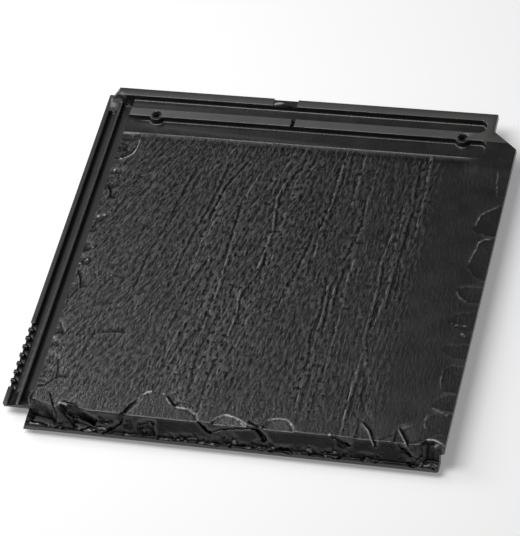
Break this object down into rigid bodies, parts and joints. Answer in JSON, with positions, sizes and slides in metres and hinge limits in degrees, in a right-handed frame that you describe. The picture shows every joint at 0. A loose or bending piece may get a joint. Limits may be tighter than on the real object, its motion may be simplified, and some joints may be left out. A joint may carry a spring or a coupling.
{
  "type": "roof tile",
  "caption": "Flat interlocking clay roof tile with a slate-textured face, side and head locks, nail holes, hanging nibs and a dressed tail edge.",
  "frame": {"origin": "middle of the tile's plan at the floor, under the nibs and tail ribs", "axes": "+X across the roof from the side lock to the cover flap, +Y up the slope from tail to head, +Z out of the weather face"},
  "size_m": [0.5, 0.47, 0.034],
  "materials": {
    "fired_clay": "satin anthracite slip fired on clay"
  },
  "bodies": {
    "root": {"roof_tile": "fired_clay"}
  },
  "joints": []
}
